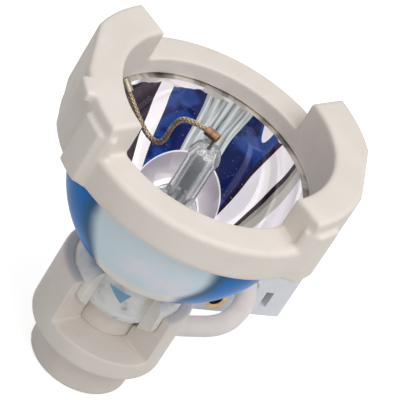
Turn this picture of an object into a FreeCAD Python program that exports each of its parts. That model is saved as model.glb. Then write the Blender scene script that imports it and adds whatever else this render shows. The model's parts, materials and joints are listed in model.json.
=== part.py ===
import FreeCAD, Part
import math
import os
import Sketcher

# Reflector discharge lamp: ceramic front ring with two raised ears, glass bowl with a neck,
# quartz burner on the axis, ceramic base with two windows, and an insulated supply lead.
# Frame: Z is the optical axis, the origin is the middle of the plug's end face, and the
# ears lie along X. All sizes are millimetres, all angles are degrees.

doc = FreeCAD.newDocument("lamp")
sheet = doc.addObject("Spreadsheet::Sheet", "Sizes")

# name, value, meaning
SIZES = [
    ("plug_radius", 10.6, "spigot under the base"),
    ("plug_height", 8.4, "spigot height"),
    ("plug_bevel", 0.6, "bevel at the spigot's end"),
    ("base_radius", 14.2, "ceramic base"),
    ("base_top", 24.8, "top of the two posts"),
    ("base_edge", 0.9, "bevel under the base"),
    ("post_edge", 0.5, "bevel round the posts' tops"),
    ("window_floor", 13.5, "floor of the two windows"),
    ("window_half", 46.4, "half the angle that a window opens"),
    ("cup_radius", 11.8, "cup between the posts"),
    ("cup_knee", 20.6, "where the cup's wall meets its cone"),
    ("cup_seat", 16.8, "lower end of the cup's cone"),
    ("cavity_radius", 2.9, "cavity for the rear joint"),
    ("cavity_floor", 9.4, "floor of that cavity"),
    ("sleeve_radius", 6.6, "bushing round the burner's foot"),
    ("sleeve_top", 19.4, "top of the bushing"),
    ("neck_radius", 8.5, "glass neck, outside"),
    ("neck_wall", 1.6, "glass neck, wall"),
    ("neck_end", 19.6, "lower end of the neck"),
    ("bowl_radius", 23.8, "bowl, outside"),
    ("rim_height", 57.8, "front rim of the bowl"),
    ("bowl_collar", 4.9, "straight collar under the rim"),
    ("bowl_shoulder", 29.4, "flat shoulder over the neck"),
    ("bowl_pole", 2.3, "outer oval's lower pole, under the shoulder"),
    ("mirror_radius", 21.6, "mirror oval, its radius"),
    ("mirror_collar", 5.3, "mirror oval's middle, under the rim"),
    ("mirror_pole", 0.9, "mirror oval's lower pole, under the shoulder"),
    ("ring_overlap", 3.6, "ring, below the bowl's rim"),
    ("ring_rise", 4.2, "ring's front face between the ears, over the rim"),
    ("ring_radius", 29.0, "ring between the ears"),
    ("ring_bore", 22.1, "ring, inside"),
    ("ring_edge", 0.7, "rounding of the ring's edges"),
    ("bond_gap", 0.5, "cement between bowl and ring"),
    ("ear_rise", 11.8, "front face of the ears, over the rim"),
    ("ear_edge", 0.5, "bevel round the ears' front faces"),
    ("ear_far", 30.1, "ear radius on the far side"),
    ("ear_near", 29.3, "ear radius on the near side"),
    ("ear_flat", 28.75, "flat in the middle of an ear"),
    ("ear_half", 43.8, "half the angle of an ear"),
    ("pad_radius", 30.4, "seat pad at an ear's end"),
    ("pad_root", 27.0, "inner edge of the pad's sketch"),
    ("pad_rise", 8.8, "top of the pad, over the rim"),
    ("pad_start", 29.5, "angle where the pad starts"),
    ("pad_end", 40.5, "angle where its bevel starts"),
    ("pad_foot", 45.5, "angle where its bevel ends"),
    ("nose_radius", 30.9, "nose on one ear"),
    ("nose_from", 17.0, "angle where the nose starts"),
    ("nose_to", 26.5, "angle where the nose ends"),
    ("nose_height", 2.4, "height of the nose"),
    ("cement_half", 50.0, "half the angle of a cement fill"),
    ("cement_top", 26.4, "top of the neck's cement"),
    ("shaft_radius", 3.05, "quartz shaft"),
    ("shaft_bore", 1.35, "bore for foil and rods"),
    ("burner_foot", 14.2, "rear end of the quartz"),
    ("burner_rise", 2.6, "front end of the quartz, over the rim"),
    ("tip_radius", 2.3, "quartz at its tip"),
    ("tip_taper", 2.2, "length of the tip's taper"),
    ("bulb_radius", 5.6, "bulb, outside"),
    ("bulb_half", 6.8, "bulb, half its length"),
    ("chamber_radius", 4.0, "arc chamber"),
    ("chamber_half", 5.0, "arc chamber, half its length"),
    ("fit_gap", 0.1, "clearance round rods and leads"),
    ("rod_radius", 0.35, "tungsten and molybdenum rods"),
    ("arc_gap", 1.8, "gap between the electrodes"),
    ("coil_radius", 0.75, "winding on an electrode"),
    ("coil_length", 1.9, "length of that winding"),
    ("coil_setback", 0.5, "rod that stands out of the winding"),
    ("foil_width", 2.2, "molybdenum foil"),
    ("foil_thick", 0.12, "its thickness"),
    ("foil_length", 8.6, "its length"),
    ("foil_start", 8.0, "foil's distance from the arc's middle"),
    ("joint_rise", 2.6, "front joint, over the quartz"),
    ("crimp_radius", 1.0, "front crimp"),
    ("crimp_inner", 0.5, "front crimp past the axis"),
    ("crimp_outer", 2.3, "front crimp towards the clip"),
    ("rope_radius", 0.55, "braided lead"),
    ("wire_angle", 154.5, "direction from the axis to the clip"),
    ("clip_radius", 20.3, "ferrule's distance from the axis"),
    ("clip_rise", 1.2, "ferrule's middle, over the rim"),
    ("clip_width", 2.0, "clip strap"),
    ("clip_thick", 0.45, "strap thickness"),
    ("clip_leg", 1.8, "leg inside the bowl"),
    ("ferrule_radius", 0.95, "ferrule on the clip"),
    ("ferrule_length", 2.6, "its length"),
    ("lead_radius", 2.2, "insulated lead"),
    ("lead_height", 11.0, "height where the lead leaves the base"),
    ("lead_angle", 27.8, "direction in which it leaves"),
    ("lead_start", 6.3, "lead's inner end"),
    ("joint_radius", 1.2, "rear crimp"),
    ("joint_inner", 1.4, "rear crimp past the axis"),
    ("plug_turn", 26.9, "direction of the connector's face"),
    ("plug_x", 40.92, "connector's right front corner"),
    ("plug_y", 39.1, "connector's right front corner"),
    ("plug_length", 24.0, "connector, along its face"),
    ("plug_deep", 11.0, "connector, front to back"),
    ("plug_tall", 14.0, "connector, height"),
    ("plug_round", 0.8, "rounding of its edges"),
    ("socket_at", 17.6, "socket's distance from the corner"),
    ("socket_height", 3.5, "socket's height"),
    ("socket_radius", 2.6, "brass socket, outside"),
    ("socket_bore", 1.6, "brass socket, inside"),
    ("socket_depth", 7.5, "its length"),
    ("slot_at", 5.8, "slot's distance from the corner"),
    ("slot_height", 4.75, "height of its middle"),
    ("slot_wide", 1.9, "slot width"),
    ("slot_tall", 4.4, "slot height"),
    ("slot_depth", 8.0, "slot depth"),
    ("blade_back", 3.0, "contact behind the slot's mouth"),
    ("blade_thick", 0.8, "contact thickness"),
    ("entry_depth", 5.0, "hole for the lead"),
    ("collar_radius", 3.2, "collar round the lead, at the housing"),
    ("collar_mouth", 2.7, "collar round the lead, at its mouth"),
    ("collar_length", 2.4, "collar, out of the housing's face"),
]

# Places that follow from the sizes.
BOWL_MIDDLE = "({rim_height} - {bowl_collar})"
BOWL_DEPTH = "({rim_height} - {bowl_collar} - {bowl_shoulder} + {bowl_pole})"
MIRROR_MIDDLE = "({rim_height} - {mirror_collar})"
MIRROR_DEPTH = "({rim_height} - {mirror_collar} - {bowl_shoulder} + {mirror_pole})"
RING_BACK = "({rim_height} - {ring_overlap})"
RING_FRONT = "({rim_height} + {ring_rise})"
RING_LIP = "({rim_height} + {fit_gap})"
RING_SEAT = "({bowl_radius} + {bond_gap})"
EAR_FRONT = "({rim_height} + {ear_rise})"
TIP = "({rim_height} + {burner_rise})"
JOINT = "({rim_height} + {burner_rise} + {joint_rise})"
ARC = "(" + TIP + " - {tip_taper} - {fit_gap} - {foil_length} - {foil_start})"
SLEEVE_BORE = "({sleeve_radius} + {fit_gap})"
PIN_BORE = "({rod_radius} + {fit_gap})"


def fill_sheet():
    for row, (name, number, meaning) in enumerate(SIZES, start=1):
        sheet.set("A%d" % row, name)
        sheet.set("B%d" % row, str(number))
        sheet.set("C%d" % row, meaning)
        sheet.setAlias("B%d" % row, name)
    doc.recompute()


def size(name):
    return float(sheet.get(name))


def bind(text):
    # A plain size name, or names in braces inside a formula.
    if "{" not in text:
        return "Sizes." + text if text in NAMES else text
    for name in sorted(NAMES, key=len, reverse=True):
        text = text.replace("{" + name + "}", "Sizes." + name)
    return text


def worth(text):
    result = sheet.evalExpression(bind(text))
    return float(getattr(result, "Value", result))


NAMES = [name for name, number, meaning in SIZES]


def polar(radius, angle):
    turn = "(%s) * 1 deg" % angle
    return "(%s) * cos(%s)" % (radius, turn), "(%s) * sin(%s)" % (radius, turn)


def origin_plane(body, role):
    return [item for item in body.Origin.OriginFeatures if item.Role == role][0]


def new_body(label):
    body = doc.addObject("PartDesign::Body", label)
    body.Label = label
    return body


def new_sketch(body, name, role, height=None):
    sketch = body.newObject("Sketcher::SketchObject", name)
    sketch.AttachmentSupport = [(origin_plane(body, role), "")]
    sketch.MapMode = "FlatFace"
    if height:
        sketch.setExpression("AttachmentOffset.Base.z", bind(height))
    return sketch


def hold(sketch, kind, amount, *spots):
    # Adds a dimension and binds it to its size.
    index = sketch.addConstraint(Sketcher.Constraint(kind, *spots, worth(amount)))
    sketch.setExpression("Constraints[%d]" % index, bind(amount))


def oval_out(oval, height):
    # How far out the oval is at a height.
    radius, half, middle = oval
    return "%s * sqrt(1 - ((%s - %s) / %s)^2)" % (radius, height, middle, half)


def oval_low(oval, out):
    radius, half, middle = oval
    return "%s - %s * sqrt(1 - (%s / %s)^2)" % (middle, half, out, radius)


def oval_high(oval, out):
    radius, half, middle = oval
    return "%s + %s * sqrt(1 - (%s / %s)^2)" % (middle, half, out, radius)


def draw_arc(sketch, first, last, radius):
    # Arc about the origin. Returns its number and the ends at the first and last corner.
    turn = first.x * last.y - first.y * last.x
    start, stop = (first, last) if turn > 0 else (last, first)
    circle = Part.Circle(FreeCAD.Vector(), FreeCAD.Vector(0, 0, 1), worth(radius))
    arc = Part.ArcOfCircle(circle, math.atan2(start.y, start.x), math.atan2(stop.y, stop.x))
    edge = sketch.addGeometry(arc, False)
    sketch.addConstraint(Sketcher.Constraint("Coincident", edge, 3, -1, 1))
    hold(sketch, "Radius", radius, edge)
    return (edge, 1, 2) if turn > 0 else (edge, 2, 1)


def draw_oval(sketch, first, last, oval):
    # Half oval on the sketch's vertical axis, between two corners. It may be tall or flat.
    radius, half, middle = [worth(text) for text in oval]
    centre = FreeCAD.Vector(0, middle, 0)
    top = FreeCAD.Vector(0, middle + half, 0)
    tall = half > radius
    if tall:
        whole = Part.Ellipse(top, FreeCAD.Vector(-radius, middle, 0), centre)
    else:
        whole = Part.Ellipse(FreeCAD.Vector(radius, middle, 0), top, centre)
    low, high = sorted((first, last), key=lambda spot: spot.y)
    edge = sketch.addGeometry(Part.ArcOfEllipse(whole, whole.parameter(low), whole.parameter(high)), False)
    long_line = sketch.GeometryCount
    short_line = long_line + 1
    sketch.exposeInternalGeometry(edge)
    sketch.addConstraint(Sketcher.Constraint("PointOnObject", edge, 3, -2))
    hold(sketch, "DistanceY", oval[2], -1, 1, edge, 3)
    sketch.addConstraint(Sketcher.Constraint("Vertical" if tall else "Horizontal", long_line))
    upright, level_line = (long_line, short_line) if tall else (short_line, long_line)
    line = sketch.Geometry[upright]
    ends = (1, 2) if line.EndPoint.y > line.StartPoint.y else (2, 1)
    hold(sketch, "DistanceY", "2 * " + oval[1], upright, ends[0], upright, ends[1])
    line = sketch.Geometry[level_line]
    ends = (1, 2) if line.EndPoint.x > line.StartPoint.x else (2, 1)
    hold(sketch, "DistanceX", "2 * " + oval[0], level_line, ends[0], level_line, ends[1])
    return (edge, 1, 2) if first.y < last.y else (edge, 2, 1)


def place_corner(sketch, edge, end, corner, curves):
    # A corner on a curve needs one coordinate, any other corner needs two.
    across, along = corner
    spots = [("X", across, -2), ("Y", along, -1)]
    if curves:
        keep = "Y" if abs(worth(across)) > abs(worth(along)) else "X"
        if isinstance(curves[0], tuple):
            keep = "X" if "sqrt" in along else "Y"
        spots = [spot for spot in spots if spot[0] == keep]
    for axis, text, line in spots:
        if text == "0":
            sketch.addConstraint(Sketcher.Constraint("PointOnObject", edge, end, line))
        else:
            hold(sketch, "Distance" + axis, text, -1, 1, edge, end)


def draw_outline(sketch, corners, curves=None):
    # Closed outline. curves maps an edge's number to an arc's radius or to an oval.
    curves = curves or {}
    count = len(corners)
    spots = [FreeCAD.Vector(worth(x), worth(y), 0) for x, y in corners]
    ends = []
    for number in range(count):
        first = spots[number]
        last = spots[(number + 1) % count]
        curve = curves.get(number)
        if isinstance(curve, tuple):
            ends.append(draw_oval(sketch, first, last, curve))
        elif curve:
            ends.append(draw_arc(sketch, first, last, curve))
        else:
            edge = sketch.addGeometry(Part.LineSegment(first, last), False)
            ends.append((edge, 1, 2))
    for number in range(count):
        before = ends[number - 1]
        after = ends[number]
        sketch.addConstraint(Sketcher.Constraint("Coincident", before[0], before[2], after[0], after[1]))
        beside = [curves[item] for item in ((number - 1) % count, number) if item in curves]
        place_corner(sketch, after[0], after[1], corners[number], beside)
    doc.recompute()


def add_feature(body, kind, name, sketch):
    feature = body.newObject("PartDesign::" + kind, name)
    feature.Profile = sketch
    return feature


def revolve(body, name, corners, curves=None):
    sketch = new_sketch(body, name + "_profile", "XZ_Plane")
    draw_outline(sketch, corners, curves)
    feature = add_feature(body, "Revolution", name, sketch)
    feature.ReferenceAxis = (sketch, ["V_Axis"])
    feature.Angle = 360
    doc.recompute()
    return feature


def pad(body, name, height, bottom, corners, arcs):
    sketch = new_sketch(body, name + "_outline", "XY_Plane", bottom)
    draw_outline(sketch, corners, arcs)
    feature = add_feature(body, "Pad", name, sketch)
    feature.setExpression("Length", bind(height))
    doc.recompute()
    return feature


def mirror(body, name, originals, role):
    feature = body.newObject("PartDesign::Mirrored", name)
    feature.Originals = originals
    feature.MirrorPlane = (origin_plane(body, role), [""])
    body.Tip = feature
    doc.recompute()
    return feature


def soften(body, kind, name, choose, amount):
    tip = body.Tip
    picked = ["Edge%d" % n for n, edge in enumerate(tip.Shape.Edges, start=1) if choose(edge)]
    feature = body.newObject("PartDesign::" + kind, name)
    feature.Base = (tip, picked)
    feature.setExpression("Radius" if kind == "Fillet" else "Size", bind(amount))
    doc.recompute()
    return feature


def level(edge, height):
    box = edge.BoundBox
    return abs(box.ZMin - height) < 0.001 and abs(box.ZMax - height) < 0.001


def solid(kind, label, rules, placement=None):
    item = doc.addObject("Part::" + kind, label)
    item.Label = label
    for key, text in rules.items():
        item.setExpression(key, bind(text))
    if placement:
        item.Placement = placement
    return item


def combine(kind, label, base, tool):
    item = doc.addObject("Part::" + kind, label)
    item.Label = label
    if kind == "MultiFuse":
        item.Shapes = [base] + tool
        item.Refine = True
    else:
        item.Base = base
        item.Tool = tool
        item.Refine = True
    return item


def rod(label, radius, bottom, top, bore=None):
    # An upright round piece on the axis, with a bore if one is given.
    outer = solid("Cylinder", label + "_body" if bore else label, {
        "Radius": radius, "Height": "%s - (%s)" % (bind(top), bind(bottom)),
        "Placement.Base.z": bottom})
    if not bore:
        return outer
    inner = solid("Cylinder", label + "_bore", {
        "Radius": bore, "Height": "%s - (%s)" % (bind(top), bind(bottom)),
        "Placement.Base.z": bottom})
    return combine("Cut", label, outer, inner)


def make_base():
    body = new_body("lamp_base")
    revolve(body, "turned_base", [
        ("0", "0"),
        ("{plug_radius} - {plug_bevel}", "0"),
        ("plug_radius", "plug_bevel"),
        ("plug_radius", "plug_height"),
        ("{base_radius} - {base_edge}", "plug_height"),
        ("base_radius", "{plug_height} + {base_edge}"),
        ("base_radius", "{base_top} - {post_edge}"),
        ("{base_radius} - {post_edge}", "base_top"),
        ("cup_radius", "base_top"),
        ("cup_radius", "cup_knee"),
        (SLEEVE_BORE, "cup_seat"),
        (SLEEVE_BORE, "window_floor"),
        ("cavity_radius", "window_floor"),
        ("cavity_radius", "cavity_floor"),
        ("0", "cavity_floor"),
    ])
    # A window is a wedge from the axis to well outside the wall, over the floor.
    reach = "2 * {base_radius}"
    sketch = new_sketch(body, "window_outline", "XY_Plane", "window_floor")
    draw_outline(sketch, [
        ("0", "0"),
        ("-(%s) * tan({window_half} * 1 deg)" % reach, "-(%s)" % reach),
        ("(%s) * tan({window_half} * 1 deg)" % reach, "-(%s)" % reach),
    ])
    window = add_feature(body, "Pocket", "front_window", sketch)
    window.setExpression("Length", bind("{base_top}"))
    window.Reversed = True
    doc.recompute()
    mirror(body, "rear_window", [window], "XZ_Plane")
    # Round hole through one post for the supply lead.
    sketch = new_sketch(body, "lead_hole_outline", "YZ_Plane")
    turn = FreeCAD.Rotation(FreeCAD.Vector(0, 1, 0), size("lead_angle"))
    sketch.AttachmentOffset = FreeCAD.Placement(FreeCAD.Vector(), turn)
    sketch.setExpression("AttachmentOffset.Rotation.Angle", bind("{lead_angle} * 1 deg"))
    middle = FreeCAD.Vector(0, size("lead_height"), 0)
    radius = size("lead_radius") + size("fit_gap")
    circle = sketch.addGeometry(Part.Circle(middle, FreeCAD.Vector(0, 0, 1), radius), False)
    sketch.addConstraint(Sketcher.Constraint("PointOnObject", circle, 3, -2))
    index = sketch.addConstraint(Sketcher.Constraint("DistanceY", -1, 1, circle, 3, middle.y))
    sketch.setExpression("Constraints[%d]" % index, bind("lead_height"))
    index = sketch.addConstraint(Sketcher.Constraint("Radius", circle, radius))
    sketch.setExpression("Constraints[%d]" % index, bind("{lead_radius} + {fit_gap}"))
    hole = add_feature(body, "Pocket", "lead_hole", sketch)
    hole.setExpression("Length", bind("{base_radius} + {plug_bevel}"))
    hole.Reversed = True
    doc.recompute()
    return body


def make_ring():
    body = new_body("front_ring")
    revolve(body, "low_ring", [
        (RING_SEAT, RING_BACK),
        ("{ring_radius} - {ring_edge}", RING_BACK),
        ("ring_radius", RING_BACK + " + {ring_edge}"),
        ("ring_radius", RING_FRONT + " - {ring_edge}"),
        ("{ring_radius} - {ring_edge}", RING_FRONT),
        ("ring_bore", RING_FRONT),
        ("ring_bore", RING_LIP),
        (RING_SEAT, RING_LIP),
    ])
    near_y = "sqrt({ear_near}^2 - {ear_flat}^2)"
    far_y = "sqrt({ear_far}^2 - {ear_flat}^2)"
    ear = pad(body, "right_ear", "{ear_rise} - {fit_gap}", RING_LIP, [
        polar("{ring_bore}", "-{ear_half}"),
        polar("{ear_near}", "-{ear_half}"),
        ("ear_flat", "-" + near_y),
        ("ear_flat", far_y),
        polar("{ear_far}", "{ear_half}"),
        polar("{ring_bore}", "{ear_half}"),
    ], {1: "ear_near", 3: "ear_far", 5: "ring_bore"})
    skirt = pad(body, "right_skirt", "{ring_overlap} + {fit_gap}", RING_BACK, [
        polar(RING_SEAT, "-{ear_half}"),
        polar("{ear_near}", "-{ear_half}"),
        ("ear_flat", "-" + near_y),
        ("ear_flat", far_y),
        polar("{ear_far}", "{ear_half}"),
        polar(RING_SEAT, "{ear_half}"),
    ], {1: "ear_near", 3: "ear_far", 5: RING_SEAT})
    seat = pad(body, "right_pad", "{pad_rise} + {ring_overlap}", RING_BACK, [
        polar("{pad_root}", "-{pad_foot}"),
        polar("{ring_radius} - {ring_edge}", "-{pad_foot}"),
        polar("{pad_radius}", "-{pad_end}"),
        polar("{pad_radius}", "-{pad_start}"),
        polar("{pad_root}", "-{pad_start}"),
    ], {2: "pad_radius", 4: "pad_root"})
    mirror(body, "left_side", [ear, skirt, seat], "YZ_Plane")
    front = worth(EAR_FRONT)
    soften(body, "Chamfer", "soft_ears", lambda edge: level(edge, front), "ear_edge")
    pad(body, "nose", "nose_height", EAR_FRONT + " - {nose_height}", [
        polar("{pad_root}", "180 + {nose_from}"),
        polar("{nose_radius}", "180 + {nose_from}"),
        polar("{nose_radius}", "180 + {nose_to}"),
        polar("{pad_root}", "180 + {nose_to}"),
    ], {1: "nose_radius", 3: "pad_root"})
    return body


def make_bowl():
    # Glass neck, shoulder, outer oval and collar, then back along the mirror's oval.
    body = new_body("reflector")
    bore = "({neck_radius} - {neck_wall})"
    outer = ("{bowl_radius}", BOWL_DEPTH, BOWL_MIDDLE)
    inner = ("{mirror_radius}", MIRROR_DEPTH, MIRROR_MIDDLE)
    revolve(body, "spun_bowl", [
        (bore, "neck_end"),
        ("neck_radius", "neck_end"),
        ("neck_radius", "bowl_shoulder"),
        (oval_out(outer, "{bowl_shoulder}"), "bowl_shoulder"),
        ("bowl_radius", BOWL_MIDDLE),
        ("bowl_radius", "rim_height"),
        (oval_out(inner, "{rim_height}"), "rim_height"),
        (bore, oval_low(inner, bore)),
    ], {3: outer, 6: inner})
    return body


def make_cements():
    bond = rod("ring_cement", RING_SEAT, RING_BACK + " + {bond_gap}", "rim_height", "bowl_radius")
    cone_low = "{cup_seat} + ({neck_radius} - " + SLEEVE_BORE + ")"
    cone_low += " * ({cup_knee} - {cup_seat}) / ({cup_radius} - " + SLEEVE_BORE + ")"
    body = new_body("cement_turned")
    revolve(body, "cement_ring", [
        ("neck_radius", cone_low),
        ("cup_radius", "cup_knee"),
        ("cup_radius", "base_top"),
        ("{cup_radius} - {base_edge}", "cement_top"),
        ("neck_radius", "{cement_top} + {base_edge}"),
    ])
    wedges = []
    for label, side in (("right_fill", "0"), ("left_fill", "180")):
        wedge = solid("Cylinder", label, {
            "Radius": "base_radius", "Height": "bowl_shoulder", "Angle": "2 * {cement_half} * 1 deg",
            "Placement.Rotation.Angle": "(%s - {cement_half}) * 1 deg" % side})
        wedges.append(wedge)
    both = combine("MultiFuse", "fill_range", wedges[0], wedges[1:])
    return [bond, combine("Common", "neck_cement", body, both)]


def make_burner():
    # Quartz: shaft, bulb and tapered tip outside; pin holes, foil bore and arc chamber inside.
    body = new_body("burner_tube")
    bulb = ("{bulb_radius}", "{bulb_half}", ARC)
    chamber = ("{chamber_radius}", "{chamber_half}", ARC)
    revolve(body, "spun_quartz", [
        (PIN_BORE, "burner_foot"),
        ("shaft_radius", "burner_foot"),
        ("shaft_radius", oval_low(bulb, "{shaft_radius}")),
        ("shaft_radius", oval_high(bulb, "{shaft_radius}")),
        ("shaft_radius", TIP + " - {tip_taper}"),
        ("tip_radius", TIP),
        (PIN_BORE, TIP),
        (PIN_BORE, TIP + " - {tip_taper}"),
        ("shaft_bore", TIP + " - {tip_taper}"),
        ("shaft_bore", oval_high(chamber, "{shaft_bore}")),
        ("shaft_bore", oval_low(chamber, "{shaft_bore}")),
        ("shaft_bore", "{burner_foot} + {tip_taper}"),
        (PIN_BORE, "{burner_foot} + {tip_taper}"),
    ], {2: bulb, 9: chamber})
    return body


def from_arc(side, near, far):
    # Bottom and top of a piece that lies between two distances from the arc's middle.
    if side == "front":
        return ARC + " + " + near, ARC + " + " + far
    return ARC + " - (" + far + ")", ARC + " - (" + near + ")"


def make_current_path():
    nodes = []
    coil_near = "{arc_gap} / 2 + {coil_setback}"
    for side in ("front", "rear"):
        bottom, top = from_arc(side, "{arc_gap} / 2", "{foil_start}")
        nodes.append(rod(side + "_electrode", "rod_radius", bottom, top))
        bottom, top = from_arc(side, coil_near, coil_near + " + {coil_length}")
        nodes.append(rod(side + "_coil", "coil_radius", bottom, top, "rod_radius"))
        bottom, top = from_arc(side, "{foil_start}", "{foil_start} + {foil_length}")
        foil = solid("Box", side + "_foil", {
            "Length": "foil_width", "Width": "foil_thick", "Height": "foil_length",
            "Placement.Base.x": "-{foil_width} / 2", "Placement.Base.y": "-{foil_thick} / 2",
            "Placement.Base.z": bottom})
        nodes.append(foil)
    nodes.append(rod("front_lead_pin", "rod_radius", ARC + " + {foil_start} + {foil_length}",
                     JOINT + " - {crimp_radius}"))
    nodes.append(rod("rear_lead_pin", "rod_radius", "{lead_height} + {joint_radius}",
                     ARC + " - {foil_start} - {foil_length}"))
    return nodes


def lying_tube(label, radius, bore, start, stop, height, angle):
    # A round sleeve along a horizontal ray from the axis.
    parts = []
    for suffix, size_name in (("_body", radius), ("_bore", bore)):
        item = solid("Cylinder", label + suffix, {
            "Radius": size_name, "Height": "%s - (%s)" % (bind(stop), bind(start))})
        item.Placement = FreeCAD.Placement(FreeCAD.Vector(), FreeCAD.Rotation(size(angle), 90, 0))
        item.setExpression("Placement.Base.x", bind("(%s) * cos({%s} * 1 deg)" % (start, angle)))
        item.setExpression("Placement.Base.y", bind("(%s) * sin({%s} * 1 deg)" % (start, angle)))
        item.setExpression("Placement.Base.z", bind(height))
        parts.append(item)
    return combine("Cut", label, parts[0], parts[1])


def tube_along(points, radius):
    # Straight runs joined by tangent arcs, each as large as its two runs allow.
    edges = []
    last = points[0]
    for number in range(1, len(points) - 1):
        corner = points[number]
        to_before = (points[number - 1] - corner)
        to_after = (points[number + 1] - corner)
        half = (math.pi - to_before.getAngle(to_after)) / 2
        reach = 0.45 * min(to_before.Length, to_after.Length)
        bend = reach / math.tan(half)
        to_before.normalize()
        to_after.normalize()
        start = corner + to_before * reach
        stop = corner + to_after * reach
        inward = (to_before + to_after).normalize()
        middle = corner + inward * (bend / math.cos(half) - bend)
        print("bend %d radius %.1f" % (number, bend))
        edges.append(Part.LineSegment(last, start).toShape())
        edges.append(Part.Arc(start, middle, stop).toShape())
        last = stop
    edges.append(Part.LineSegment(last, points[-1]).toShape())
    path = Part.Wire(edges)
    ring = Part.makeCircle(radius, points[0], points[1] - points[0])
    tube = path.makePipeShell([Part.Wire(ring)], True, True)
    print("tube volume %.2f, section times length %.2f"
          % (tube.Volume, math.pi * radius ** 2 * path.Length))
    return tube


def make_front_wire():
    # Route in the upright plane through the axis and the clip: distance out, height over the rim.
    clip = (size("clip_radius"), size("clip_rise"))
    joint = (size("crimp_outer"), size("burner_rise") + size("joint_rise"))
    route = [clip, (15.4, -2.6), (11.0, -5.1), (8.2, -4.0), (8.5, 0.8), (7.2, 4.5), joint]
    angle = math.radians(size("wire_angle"))
    rim = size("rim_height")
    points = [FreeCAD.Vector(out * math.cos(angle), out * math.sin(angle), rim + up) for out, up in route]
    wire = doc.addObject("Part::Feature", "braided_lead")
    wire.Label = "braided_lead"
    wire.Shape = tube_along(points, size("rope_radius"))
    first = points[1] - points[0]
    clip_node = make_clip(points[0], first)
    crimp = lying_tube("front_crimp", "crimp_radius", "rope_radius", "-{crimp_inner}",
                       "crimp_outer", JOINT, "wire_angle")
    return [wire, clip_node, crimp]


def make_clip(spot, way):
    # Strap over the bowl's rim, with the ferrule that holds the braid standing on it.
    thick = "{clip_thick}"
    rim = "{rim_height}"
    inside = "(" + oval_out(("{mirror_radius}", MIRROR_DEPTH, MIRROR_MIDDLE), "{rim_height}")
    inside += " - {fit_gap})"
    top = solid("Box", "clip_top", {
        "Length": "{ring_bore} - {fit_gap} - " + inside + " + " + thick, "Width": "clip_width",
        "Height": thick})
    leg = solid("Box", "clip_inner", {
        "Length": thick, "Width": "clip_width", "Height": "{clip_leg} + " + thick})
    start = inside + " - " + thick
    for item, up in ((top, rim), (leg, "{rim_height} - {clip_leg}")):
        item.Placement = FreeCAD.Placement(FreeCAD.Vector(), FreeCAD.Rotation(size("wire_angle"), 0, 0))
        side = "{clip_width} / 2"
        turn = "{wire_angle} * 1 deg"
        item.setExpression("Placement.Base.x", bind("(%s) * cos(%s) + %s * sin(%s)" % (start, turn, side, turn)))
        item.setExpression("Placement.Base.y", bind("(%s) * sin(%s) - %s * cos(%s)" % (start, turn, side, turn)))
        item.setExpression("Placement.Base.z", bind(up))
    way = FreeCAD.Vector(way)
    way.normalize()
    foot = spot - way * (size("ferrule_length") / 2)
    post = Part.makeCylinder(size("ferrule_radius"), size("ferrule_length"), foot, way)
    hole = Part.makeCylinder(size("rope_radius"), size("ferrule_length") / 2, spot, way)
    ferrule = doc.addObject("Part::Feature", "ferrule")
    ferrule.Shape = post.cut(hole)
    return combine("MultiFuse", "rim_clip", top, [leg, ferrule])


def make_supply():
    angle = math.radians(size("lead_angle"))
    start = size("lead_start")
    height = size("lead_height")
    first = (start * math.cos(angle), start * math.sin(angle), height)
    route = [first, (19.6, 10.33, 11.0), (25.2, 14.6, 11.0), (28.3, 21.0, 10.9),
             (29.4, 27.3, 10.7), (28.9, 33.0, 10.6)]
    points = [FreeCAD.Vector(*spot) for spot in route]
    lead = doc.addObject("Part::Feature", "supply_lead")
    lead.Label = "supply_lead"
    lead.Shape = tube_along(points, size("lead_radius"))
    crimp = lying_tube("rear_crimp", "joint_radius", "rod_radius", "-{joint_inner}", "lead_start",
                       "lead_height", "lead_angle")
    return [lead, crimp] + make_connector(points[-1], points[-1] - points[-2])


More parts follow.
